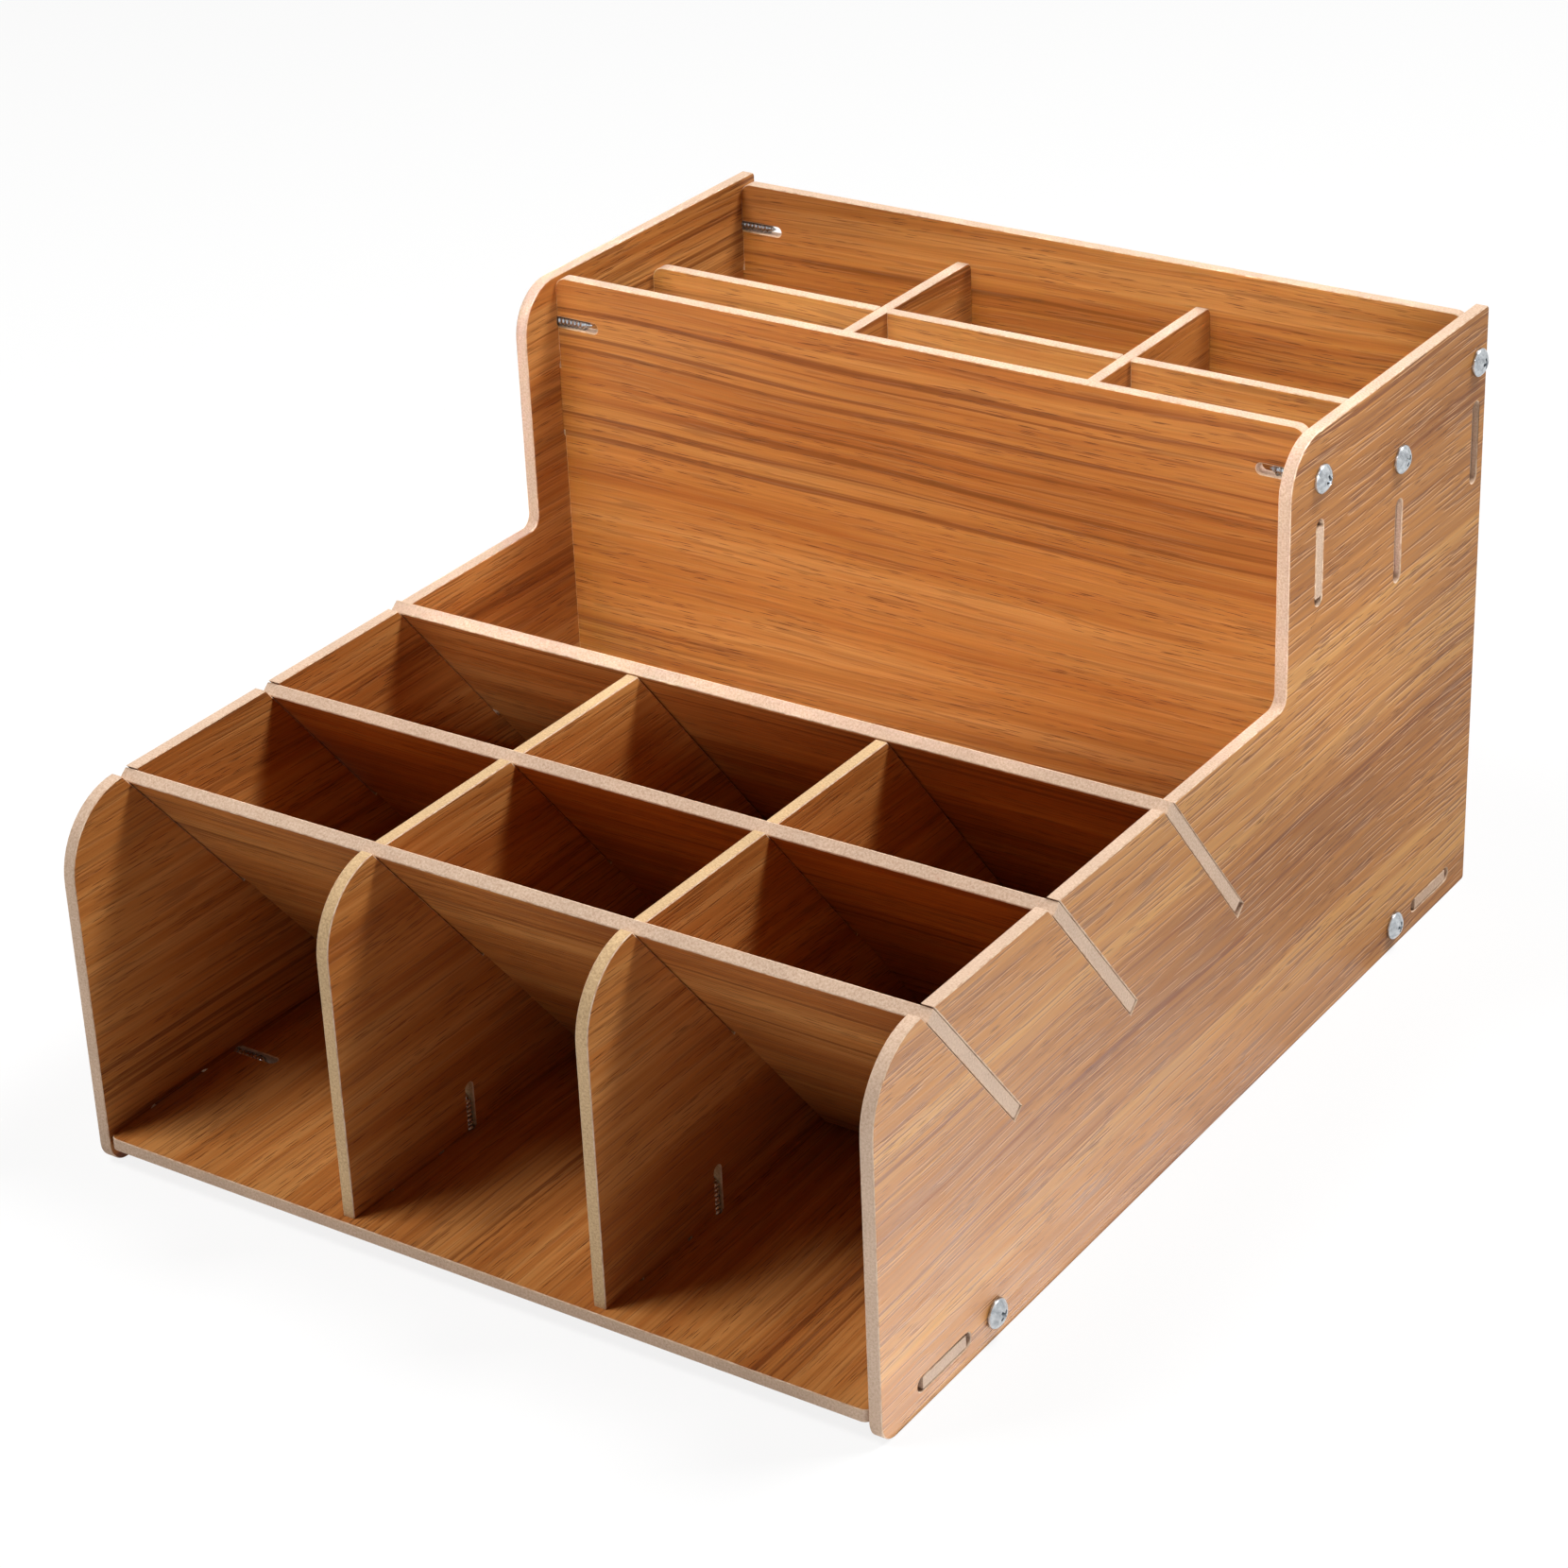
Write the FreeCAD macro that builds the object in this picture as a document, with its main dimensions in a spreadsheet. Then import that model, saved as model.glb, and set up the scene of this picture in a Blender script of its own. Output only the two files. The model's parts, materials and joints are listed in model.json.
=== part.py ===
import FreeCAD, Part
import math
import os
import types

import Sketcher

# A flat-pack desk organizer of thin laminated boards. Two stepped side panels carry a base, a tall box
# of three walls at the back and, in front of it, three leaning partitions that drop into open slots.
# Long dividers split the front in three columns, cross dividers split the tall box.
# Frame: +X to the right, +Y towards the tall box, +Z up, origin on the table under the middle.

DOC = FreeCAD.newDocument("desk_organizer")

# Driving dimensions in millimetres and degrees. Depths are measured from the side panels' front edges.
DRIVING = [
    ("board", 3.0, "thickness of every board"),
    ("slot_play", 0.2, "room on each side of a board in its slot"),
    ("seat_gap", 0.3, "distance of a loose board from what stops it"),
    ("body_width", 200.0, "width over the side panels"),
    ("body_depth", 260.0, "depth of the side panels"),
    ("body_height", 145.5, "height of the tall part"),
    ("step_height", 87.0, "height of the low front part"),
    ("tall_depth", 95.5, "depth of the tall part at the back"),
    ("front_radius", 18.0, "front top corner of side panels and long dividers"),
    ("brow_radius", 12.0, "front top corner of the tall part"),
    ("heel_radius", 5.0, "front bottom corner of the side panels"),
    ("step_radius", 3.0, "inner corner of the step"),
    ("rear_radius", 1.0, "back corners of the side panels"),
    ("corner_radius", 2.0, "corners of the base and of the cross dividers"),
    ("base_height", 4.5, "underside of the base above the table"),
    ("tab_length", 16.0, "length of a joining tab"),
    ("front_tab_place", 23.0, "middle of the front tabs"),
    ("rear_tab_inset", 19.0, "middle of the base's rear tabs from the back edge"),
    ("screw_pitch", 19.4, "middle of a tab to the screw beside it"),
    ("wall_tab_drop", 30.4, "top of a wall to the middle of its tab"),
    ("foot_tab_length", 40.0, "length of the tab under a wall"),
    ("tab_recess", 1.3, "ends of the middle and back walls' tabs inside the side panels' outer faces"),
    ("slant_angle", 39.0, "lean of the partitions from upright"),
    ("partition_length", 99.0, "length of a partition along its slope"),
    ("partition_ear", 48.5, "length of a partition's full width upper part"),
    ("partition_side_gap", 0.5, "lower part of a partition to a side panel"),
    ("first_partition_place", 21.9, "back face of the first partition at step height"),
    ("wide_pocket_mouth", 61.9, "last partition to the tall box at step height"),
    ("slot_depth", 49.8, "length of a leaning slot along its slope"),
    ("divider_spacing", 64.4, "left divider to right divider, middle to middle"),
    ("divider_setback", 2.0, "front edge of the long dividers"),
    ("divider_drop", 1.0, "top of the long dividers below the step"),
    ("divider_rear_gap", 0.5, "rear edge of the long dividers to the last partition"),
    ("divider_tab_inset", 16.0, "middle of a long divider's rear tab from its rear foot"),
    ("back_wall_inset", 4.7, "middle of the back wall from the back edge"),
    ("wall_pitch", 38.5, "wall to wall in the tall box"),
    ("middle_wall_drop", 10.0, "top of the middle wall below the side panels"),
    ("back_wall_drop", 1.0, "top of the back wall below the side panels"),
    ("wall_radius", 3.0, "top corners of the tall box's walls"),
    ("screw_diameter", 2.9, "outside of the screw's thread"),
    ("screw_length", 12.0, "screw under its head"),
    ("screw_tip", 2.0, "length of the screw's point"),
    ("screw_play", 0.15, "room round a screw in its hole"),
    ("thread_bite", 0.2, "depth that the thread cuts into each side of its slot"),
    ("screw_slot_spare", 2.5, "slot left free beyond the screw's point"),
    ("head_diameter", 6.6, "screw head"),
    ("head_height", 2.2, "screw head at its crown"),
    ("head_rim", 0.7, "upright edge of the screw head"),
    ("recess_span", 3.4, "cross recess from tip to tip"),
    ("recess_width", 0.9, "width of the cross recess"),
    ("recess_depth", 1.2, "depth of the cross recess"),
]

PARTITION_NAMES = ["front", "middle", "rear"]
WALL_NAMES = ["front", "middle", "back"]
SIDE_SIGNS = [("left", -1), ("right", 1)]
SCREW_TURN = 37.0
HALF_TURN = 180.0
QUARTER_TURN = 90.0
FULL_TURN = 360.0
TOUCH = 1e-4

# Places inside a sketch: its origin, its two axes, and the named points of a line, an arc or a circle.
HORIZONTAL_AXIS, VERTICAL_AXIS = -1, -2
ORIGIN = HORIZONTAL_AXIS
START, END, CENTRE = range(1, 4)

# The two directions of each plane, as positions in (x, y, z).
PLANE_AXES = {"XY_Plane": (0, 1), "XZ_Plane": (0, 2), "YZ_Plane": (1, 2)}


class Size:
    """A number together with the formula that gives it from the sheet of driving dimensions."""

    def __init__(self, formula, number):
        self.formula = formula
        self.number = number

    def __add__(self, other):
        other = as_size(other)
        return Size(f"({self.formula} + {other.formula})", self.number + other.number)

    def __sub__(self, other):
        other = as_size(other)
        return Size(f"({self.formula} - {other.formula})", self.number - other.number)

    def __mul__(self, other):
        other = as_size(other)
        return Size(f"({self.formula} * {other.formula})", self.number * other.number)

    def __truediv__(self, other):
        other = as_size(other)
        return Size(f"({self.formula} / {other.formula})", self.number / other.number)

    def __neg__(self):
        return self * -1


def as_size(value):
    return value if isinstance(value, Size) else Size(str(value), value)


def larger(one, other):
    return Size(f"max({one.formula}; {other.formula})", max(one.number, other.number))


def driving_sheet():
    """Write the driving dimensions into a sheet and return them as sizes by name."""
    sheet = DOC.addObject("Spreadsheet::Sheet", "Sizes")
    sizes = {}
    for row, (name, number, meaning) in enumerate(DRIVING, start=1):
        sheet.set(f"A{row}", name)
        sheet.set(f"B{row}", str(number))
        sheet.set(f"C{row}", meaning)
        sheet.setAlias(f"B{row}", name)
        sizes[name] = Size(f"Sizes.{name}", number)
    DOC.recompute()
    return types.SimpleNamespace(**sizes)


d = driving_sheet()

# Sizes that follow from the driving dimensions.
lean = math.radians(d.slant_angle.number)
sine = Size("sin(Sizes.slant_angle)", math.sin(lean))
cosine = Size("cos(Sizes.slant_angle)", math.cos(lean))
tangent = sine / cosine
half_board = d.board / 2
half_width = d.body_width / 2
slot_width = d.board + d.slot_play * 2
half_slot = slot_width / 2
half_tab = d.tab_length / 2
base_top = d.base_height + d.board
base_middle = d.base_height + half_board
rear_tab_place = d.body_depth - d.rear_tab_inset
base_tab_places = [d.front_tab_place, rear_tab_place]
base_screw_places = [d.front_tab_place + d.screw_pitch, rear_tab_place - d.screw_pitch]
divider_places = [half_width - d.divider_spacing / 2, half_width + d.divider_spacing / 2]
divider_top = d.step_height - d.divider_drop
step_depth = d.body_depth - d.tall_depth
back_wall_place = d.body_depth - d.back_wall_inset
wall_places = [back_wall_place - d.wall_pitch * i for i in reversed(range(len(WALL_NAMES)))]
last_partition_place = wall_places[0] - half_board - d.wide_pocket_mouth
partition_pitch = (last_partition_place - d.first_partition_place) / (len(PARTITION_NAMES) - 1)
partition_places = [d.first_partition_place + partition_pitch * i for i in range(len(PARTITION_NAMES))]
middle_wall_top = d.body_height - d.middle_wall_drop
wall_tops = [d.body_height, middle_wall_top, d.body_height - d.back_wall_drop]
lap_height = (base_top + middle_wall_top) / 2
screw_hole = d.screw_diameter + d.screw_play * 2
screw_slot_width = d.screw_diameter - d.thread_bite * 2
screw_slot_length = d.screw_length - d.board + d.screw_slot_spare
screw_slot_end = screw_slot_length - screw_slot_width / 2


def wall_tab_height(top):
    return top - d.wall_tab_drop


def wall_screw_height(top):
    return wall_tab_height(top) + d.screw_pitch


def leaning_depth(place, across, height):
    """Depth at which a leaning plane, set off across the slope from a partition's back face, has a height."""
    return place + (d.step_height - height) * tangent + across / cosine


divider_rear_offset = -(d.board + d.divider_rear_gap)
divider_rear_foot = leaning_depth(partition_places[-1], divider_rear_offset, base_top)
divider_rear_head = leaning_depth(partition_places[-1], divider_rear_offset, divider_top)
divider_rear_tab = divider_rear_foot - d.divider_tab_inset
divider_tab_places = [d.front_tab_place, divider_rear_tab]
divider_screw_places = [d.front_tab_place + d.screw_pitch, divider_rear_tab - d.screw_pitch]


# Sketches and features

def new_body(label):
    body = DOC.addObject("PartDesign::Body", label)
    body.Label = label
    return body


def new_sketch(body, name, plane):
    sketch = body.newObject("Sketcher::SketchObject", f"{body.Label}_{name}")
    support = next(feature for feature in body.Origin.OriginFeatures if feature.Role == plane)
    sketch.AttachmentSupport = [(support, "")]
    sketch.MapMode = "FlatFace"
    return sketch


def bind(sketch, constraint, size):
    index = sketch.addConstraint(constraint)
    sketch.setExpression(f"Constraints[{index}]", size.formula)


def pin(sketch, geometry, point, place):
    """Hold one point of a drawing at two sizes from the sketch's origin."""
    for kind, axis, size in (("DistanceX", VERTICAL_AXIS, place[0]), ("DistanceY", HORIZONTAL_AXIS, place[1])):
        size = as_size(size)
        if size.number == 0:
            sketch.addConstraint(Sketcher.Constraint("PointOnObject", geometry, point, axis))
        else:
            bind(sketch, Sketcher.Constraint(kind, ORIGIN, START, geometry, point, size.number), size)


def flat_point(place):
    return FreeCAD.Vector(as_size(place[0]).number, as_size(place[1]).number, 0)


def draw_outline(sketch, corners):
    """Closed outline of straight runs."""
    first = sketch.GeometryCount
    points = [flat_point(corner) for corner in corners]
    count = len(points)
    for index, point in enumerate(points):
        sketch.addGeometry(Part.LineSegment(point, points[(index + 1) % count]), False)
    for index, corner in enumerate(corners):
        following = first + (index + 1) % count
        sketch.addConstraint(Sketcher.Constraint("Coincident", first + index, END, following, START))
        pin(sketch, first + index, START, corner)


def draw_circle(sketch, centre, diameter):
    circle = Part.Circle(flat_point(centre), FreeCAD.Vector(0, 0, 1), diameter.number / 2)
    index = sketch.addGeometry(circle, False)
    pin(sketch, index, CENTRE, centre)
    bind(sketch, Sketcher.Constraint("Diameter", index, diameter.number), diameter)


def draw_round_slot(sketch, start, end, width):
    """Slot with round ends, centred on the line between two places."""
    radius = width / 2
    near, far = flat_point(start), flat_point(end)
    heading = math.atan2(far.y - near.y, far.x - near.x)
    right, left = heading - math.pi / 2, heading + math.pi / 2
    up = FreeCAD.Vector(0, 0, 1)

    def beside(centre, angle):
        return centre + FreeCAD.Vector(math.cos(angle), math.sin(angle), 0) * radius.number

    far_circle = Part.Circle(far, up, radius.number)
    near_circle = Part.Circle(near, up, radius.number)
    pieces = [
        Part.LineSegment(beside(near, right), beside(far, right)),
        Part.ArcOfCircle(far_circle, right, left),
        Part.LineSegment(beside(far, left), beside(near, left)),
        Part.ArcOfCircle(near_circle, left, right + 2 * math.pi),
    ]
    first = sketch.GeometryCount
    for piece in pieces:
        sketch.addGeometry(piece, False)
    for index in range(len(pieces)):
        following = first + (index + 1) % len(pieces)
        sketch.addConstraint(Sketcher.Constraint("Tangent", first + index, END, following, START))
    far_arc, near_arc = first + 1, first + 3
    pin(sketch, far_arc, CENTRE, end)
    pin(sketch, near_arc, CENTRE, start)
    sketch.addConstraint(Sketcher.Constraint("Equal", far_arc, near_arc))
    bind(sketch, Sketcher.Constraint("Radius", far_arc, radius.number), radius)


def pad_board(body, sketch):
    pad = body.newObject("PartDesign::Pad", f"{body.Label}_board")
    pad.Profile = sketch
    pad.setExpression("Length", d.board.formula)
    DOC.recompute()
    return pad


def cut_through(body, sketch):
    """Cut a sketch through the whole board, to both sides of its plane."""
    before = body.Shape.Volume
    pocket = body.newObject("PartDesign::Pocket", f"{sketch.Label}_cut")
    pocket.Profile = sketch
    pocket.Type = "ThroughAll"
    pocket.Midplane = True
    DOC.recompute()
    if body.Shape.Volume >= before:
        raise RuntimeError(f"{sketch.Label} cut nothing")


def round_corners(body, plane, radius, corners):
    """Round the board edges that stand on the given corners of its outline."""
    base = body.Tip
    one, two = PLANE_AXES[plane]
    places = [flat_point(corner) for corner in corners]
    names = []
    for index, edge in enumerate(base.Shape.Edges, start=1):
        ends = [vertex.Point for vertex in edge.Vertexes]
        for place in places:
            if all(abs(end[one] - place.x) < TOUCH and abs(end[two] - place.y) < TOUCH for end in ends):
                names.append(f"Edge{index}")
    if len(names) != len(places):
        raise RuntimeError(f"{body.Label} lacks a corner to round")
    fillet = body.newObject("PartDesign::Fillet", f"{body.Label}_round")
    fillet.Base = (base, names)
    fillet.setExpression("Radius", radius.formula)
    DOC.recompute()


def set_place(body, place, turn=None):
    numbers = [as_size(size).number for size in place]
    body.Placement = FreeCAD.Placement(FreeCAD.Vector(*numbers), turn or FreeCAD.Rotation())
    for axis, size in zip("xyz", place):
        body.setExpression(f"Placement.Base.{axis}", as_size(size).formula)


# Shapes that several boards share

def leaning_slot(place):
    """Open slot for a leaning partition, running past the top edge of the board that it is cut in."""
    mouth = -(d.board * 2)
    front = -(d.board + d.slot_play)

    def corner(along, across):
        return place + along * sine + across * cosine, d.step_height - along * cosine + across * sine

    return [
        corner(mouth, front),
        corner(d.slot_depth, front),
        corner(d.slot_depth, d.slot_play),
        corner(mouth, d.slot_play),
    ]


def draw_tab_slot(sketch, centre, upright):
    """Slot for a tab, with its round ends beyond the tab's corners."""
    reach = half_tab + d.slot_play
    step = (0, reach) if upright else (reach, 0)
    start = (centre[0] - step[0], centre[1] - step[1])
    end = (centre[0] + step[0], centre[1] + step[1])
    draw_round_slot(sketch, start, end, slot_width)


# Boards

def side_panel(label, left_face):
    body = new_body(label)
    outline = new_sketch(body, "outline", "YZ_Plane")
    draw_outline(outline, [
        (0, 0),
        (d.body_depth, 0),
        (d.body_depth, d.body_height),
        (step_depth, d.body_height),
        (step_depth, d.step_height),
        (0, d.step_height),
    ])
    pad_board(body, outline)
    round_corners(body, "YZ_Plane", d.heel_radius, [(0, 0)])
    round_corners(body, "YZ_Plane", d.front_radius, [(0, d.step_height)])
    round_corners(body, "YZ_Plane", d.step_radius, [(step_depth, d.step_height)])
    round_corners(body, "YZ_Plane", d.brow_radius, [(step_depth, d.body_height)])
    round_corners(body, "YZ_Plane", d.rear_radius, [(d.body_depth, 0), (d.body_depth, d.body_height)])
    cuts = new_sketch(body, "openings", "YZ_Plane")
    for place in partition_places:
        draw_outline(cuts, leaning_slot(place))
    for place in base_tab_places:
        draw_tab_slot(cuts, (place, base_middle), upright=False)
    for place in base_screw_places:
        draw_circle(cuts, (place, base_middle), screw_hole)
    for place, top in zip(wall_places, wall_tops):
        draw_tab_slot(cuts, (place, wall_tab_height(top)), upright=True)
        draw_circle(cuts, (place, wall_screw_height(top)), screw_hole)
    cut_through(body, cuts)
    set_place(body, (left_face, -(d.body_depth / 2), 0))
    return body


def base_panel():
    body = new_body("base_panel")
    left, right = d.board, d.body_width - d.board
    right_side = []
    left_side = []
    for place in base_tab_places:
        low, high = place - half_tab, place + half_tab
        right_side += [(right, low), (d.body_width, low), (d.body_width, high), (right, high)]
        left_side = [(left, high), (0, high), (0, low), (left, low)] + left_side
    outline = new_sketch(body, "outline", "XY_Plane")
    draw_outline(outline, [(left, 0), (right, 0)] + right_side
                 + [(right, d.body_depth), (left, d.body_depth)] + left_side)
    pad_board(body, outline)
    corners = [(side, end) for side in (left, right) for end in (0, d.body_depth)]
    round_corners(body, "XY_Plane", d.corner_radius, corners)
    cuts = new_sketch(body, "openings", "XY_Plane")
    for across in divider_places:
        for place in divider_tab_places:
            draw_tab_slot(cuts, (across, place), upright=True)
        for place in divider_screw_places:
            draw_circle(cuts, (across, place), screw_hole)
    foot_reach = d.foot_tab_length / 2 + d.slot_play
    for place in wall_places:
        draw_round_slot(cuts, (half_width - foot_reach, place), (half_width + foot_reach, place), slot_width)
    for place in base_screw_places:
        draw_round_slot(cuts, (left, place), (left + screw_slot_end, place), screw_slot_width)
        draw_round_slot(cuts, (right, place), (right - screw_slot_end, place), screw_slot_width)
    cut_through(body, cuts)
    set_place(body, (-half_width, -(d.body_depth / 2), d.base_height))
    return body


def long_divider(label, across):
    body = new_body(label)
    feet = []
    for place in divider_tab_places:
        low, high = place - half_tab, place + half_tab
        feet += [(low, base_top), (low, d.base_height), (high, d.base_height), (high, base_top)]
    outline = new_sketch(body, "outline", "YZ_Plane")
    draw_outline(outline, [(d.divider_setback, base_top)] + feet + [
        (divider_rear_foot, base_top),
        (divider_rear_head, divider_top),
        (d.divider_setback, divider_top),
    ])
    pad_board(body, outline)
    round_corners(body, "YZ_Plane", d.front_radius, [(d.divider_setback, divider_top)])
    cuts = new_sketch(body, "openings", "YZ_Plane")
    for place in partition_places[:-1]:
        draw_outline(cuts, leaning_slot(place))
    for place in divider_screw_places:
        draw_round_slot(cuts, (place, base_top), (place, base_top + screw_slot_end), screw_slot_width)
    cut_through(body, cuts)
    set_place(body, (across - half_width - half_board, -(d.body_depth / 2), 0))
    return body


def slanted_partition(label, place, lapped):
    """Board modelled flat, from its lower edge up, then leaned forward; its back face is the drawn one.

    A lapped board is notched over the long dividers, which end in front of the rear one.
    """
    body = new_body(label)
    inset = d.board + d.partition_side_gap
    shoulder = d.partition_length - d.partition_ear
    notches = []
    for across in divider_places if lapped else []:
        low, high = across - half_slot, across + half_slot
        notches += [(low, 0), (low, shoulder), (high, shoulder), (high, 0)]
    outline = new_sketch(body, "outline", "XY_Plane")
    draw_outline(outline, [(inset, 0)] + notches + [
        (d.body_width - inset, 0),
        (d.body_width - inset, shoulder),
        (d.body_width, shoulder),
        (d.body_width, d.partition_length),
        (0, d.partition_length),
        (0, shoulder),
        (inset, shoulder),
    ])
    pad_board(body, outline)
    base_stop = base_top + d.seat_gap + d.board * sine
    wall_room = wall_places[0] - half_board - d.seat_gap - place
    wall_stop = d.step_height - wall_room / tangent
    height = larger(base_stop, wall_stop)
    depth = leaning_depth(place, as_size(0), height)
    turn = FreeCAD.Rotation(FreeCAD.Vector(1, 0, 0), QUARTER_TURN + d.slant_angle.number)
    set_place(body, (-half_width, depth - d.body_depth / 2, height), turn)
    body.setExpression("Placement.Rotation.Angle", f"{QUARTER_TURN} + {d.slant_angle.formula}")
    return body


def box_wall(label, place, top, lapped, recess):
    """Wall between the side panels, with a tab at each end that stops a recess short of their outer faces."""
    body = new_body(label)
    left, right = d.board, d.body_width - d.board
    foot_low = half_width - d.foot_tab_length / 2
    foot_high = half_width + d.foot_tab_length / 2
    low = wall_tab_height(top) - half_tab
    high = wall_tab_height(top) + half_tab
    outline = new_sketch(body, "outline", "XZ_Plane")
    draw_outline(outline, [
        (left, base_top),
        (foot_low, base_top),
        (foot_low, d.base_height),
        (foot_high, d.base_height),
        (foot_high, base_top),
        (right, base_top),
        (right, low),
        (d.body_width - recess, low),
        (d.body_width - recess, high),
        (right, high),
        (right, top),
        (left, top),
        (left, high),
        (recess, high),
        (recess, low),
        (left, low),
    ])
    pad_board(body, outline)
    round_corners(body, "XZ_Plane", d.wall_radius, [(left, top), (right, top)])
    cuts = new_sketch(body, "openings", "XZ_Plane")
    screw = wall_screw_height(top)
    draw_round_slot(cuts, (left, screw), (left + screw_slot_end, screw), screw_slot_width)
    draw_round_slot(cuts, (right, screw), (right - screw_slot_end, screw), screw_slot_width)
    if lapped:
        for across in divider_places:
            low, high = across - half_slot, across + half_slot
            mouth = top + d.board
            draw_outline(cuts, [(low, lap_height), (high, lap_height), (high, mouth), (low, mouth)])
    cut_through(body, cuts)
    set_place(body, (-half_width, place + half_board - d.body_depth / 2, 0))
    return body


def cross_divider(label, across):
    body = new_body(label)
    front = wall_places[0] + half_board + d.seat_gap
    back = wall_places[-1] - half_board - d.seat_gap
    floor = base_top + d.seat_gap
    lap = lap_height + d.seat_gap
    near, far = wall_places[1] - half_slot, wall_places[1] + half_slot
    outline = new_sketch(body, "outline", "YZ_Plane")
    draw_outline(outline, [
        (front, floor),
        (near, floor),
        (near, lap),
        (far, lap),
        (far, floor),
        (back, floor),
        (back, middle_wall_top),
        (front, middle_wall_top),
    ])
    pad_board(body, outline)
    round_corners(body, "YZ_Plane", d.corner_radius, [(front, middle_wall_top), (back, middle_wall_top)])
    set_place(body, (across - half_width - half_board, -(d.body_depth / 2), 0))
    return body


# Screws

def cross_screw(label, seat, turn):
    """Round-headed screw, its head standing out of the seat along the turned Z direction."""
    body = new_body(label)
    radius = d.screw_diameter / 2
    head_radius = d.head_diameter / 2
    profile = new_sketch(body, "profile", "XZ_Plane")
    corners = [
        (0, d.head_height),
        (0, -d.screw_length),
        (radius, d.screw_tip - d.screw_length),
        (radius, 0),
        (head_radius, 0),
        (head_radius, d.head_rim),
    ]
    points = [flat_point(corner) for corner in corners]
    for index in range(len(points) - 1):
        profile.addGeometry(Part.LineSegment(points[index], points[index + 1]), False)
        pin(profile, index, START, corners[index])
    last = len(points) - 2
    pin(profile, last, END, corners[-1])
    for index in range(last):
        profile.addConstraint(Sketcher.Constraint("Coincident", index, END, index + 1, START))
    rise = d.head_height.number - d.head_rim.number
    crown_radius = (head_radius.number ** 2 + rise ** 2) / (2 * rise)
    crown_centre = FreeCAD.Vector(0, d.head_height.number - crown_radius, 0)
    edge_angle = math.atan2(points[-1].y - crown_centre.y, points[-1].x)
    crown_circle = Part.Circle(crown_centre, FreeCAD.Vector(0, 0, 1), crown_radius)
    crown = profile.addGeometry(Part.ArcOfCircle(crown_circle, edge_angle, math.pi / 2), False)
    profile.addConstraint(Sketcher.Constraint("Coincident", crown, START, last, END))
    profile.addConstraint(Sketcher.Constraint("Coincident", crown, END, 0, START))
    profile.addConstraint(Sketcher.Constraint("PointOnObject", crown, CENTRE, VERTICAL_AXIS))
    turned = body.newObject("PartDesign::Revolution", f"{label}_turned")
    turned.Profile = profile
    turned.ReferenceAxis = (profile, ["V_Axis"])
    turned.Angle = FULL_TURN
    DOC.recompute()
    cross = new_sketch(body, "cross", "XY_Plane")
    cross.setExpression("AttachmentOffset.Base.z", d.head_height.formula)
    tip, edge = d.recess_span / 2, d.recess_width / 2
    draw_outline(cross, [
        (edge, edge), (edge, tip), (-edge, tip), (-edge, edge),
        (-tip, edge), (-tip, -edge), (-edge, -edge), (-edge, -tip),
        (edge, -tip), (edge, -edge), (tip, -edge), (tip, edge),
    ])
    DOC.recompute()
    before = body.Shape.Volume
    recess = body.newObject("PartDesign::Pocket", f"{label}_recess")
    recess.Profile = cross
    recess.setExpression("Length", d.recess_depth.formula)
    DOC.recompute()
    if body.Shape.Volume >= before:
        raise RuntimeError(f"{label} has no recess")
    set_place(body, seat, turn)
    return body


def side_turn(sign, index):
    """Turn that points a screw's head out of a side panel, with its recess at an angle of its own."""
    outward = FreeCAD.Rotation(FreeCAD.Vector(0, 1, 0), QUARTER_TURN * sign)
    return outward * FreeCAD.Rotation(FreeCAD.Vector(0, 0, 1), SCREW_TURN * index)


def under_turn(index):
    downward = FreeCAD.Rotation(FreeCAD.Vector(1, 0, 0), HALF_TURN)
    return downward * FreeCAD.Rotation(FreeCAD.Vector(0, 0, 1), SCREW_TURN * index)


def side_screws(side, sign):
    screws = []
    outer_face = half_width * sign
    seats = [("base_front", base_screw_places[0], base_middle), ("base_rear", base_screw_places[1], base_middle)]
    for wall, place, top in zip(WALL_NAMES, wall_places, wall_tops):
        seats.append((f"{wall}_wall", place, wall_screw_height(top)))
    for index, (name, place, height) in enumerate(seats):
        seat = (outer_face, place - d.body_depth / 2, height)
        screws.append(cross_screw(f"{side}_{name}_screw", seat, side_turn(sign, index + sign)))
    return screws


def divider_screws(side, across):
    screws = []
    for index, (end, place) in enumerate(zip(["front", "rear"], divider_screw_places)):
        seat = (across - half_width, place - d.body_depth / 2, d.base_height)
        screws.append(cross_screw(f"{side}_divider_{end}_screw", seat, under_turn(index + 1)))
    return screws


# Assembly

parts = [
    side_panel("left_side_panel", -half_width),
    side_panel("right_side_panel", half_width - d.board),
    base_panel(),
]
for (side, sign), across in zip(SIDE_SIGNS, divider_places):
    parts.append(long_divider(f"{side}_long_divider", across))
    parts.append(cross_divider(f"{side}_cross_divider", across))
for name, place in zip(PARTITION_NAMES, partition_places):
    parts.append(slanted_partition(f"{name}_slanted_partition", place, lapped=name != "rear"))
for name, place, top in zip(WALL_NAMES, wall_places, wall_tops):
    recess = as_size(0) if name == "front" else d.tab_recess
    parts.append(box_wall(f"rear_box_{name}_wall", place, top, name == "middle", recess))
for (side, sign), across in zip(SIDE_SIGNS, divider_places):
    parts += side_screws(side, sign)
    parts += divider_screws(side, across)

DOC.recompute()
for item in DOC.Objects:
    if "Invalid" in item.State or "Error" in item.State:
        raise RuntimeError(f"{item.Label} failed: {item.State}")
for part in parts:
    if part.Shape.isNull() or not part.Shape.isValid() or len(part.Shape.Solids) != 1:
        raise RuntimeError(f"{part.Label} is not one valid solid")

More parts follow.
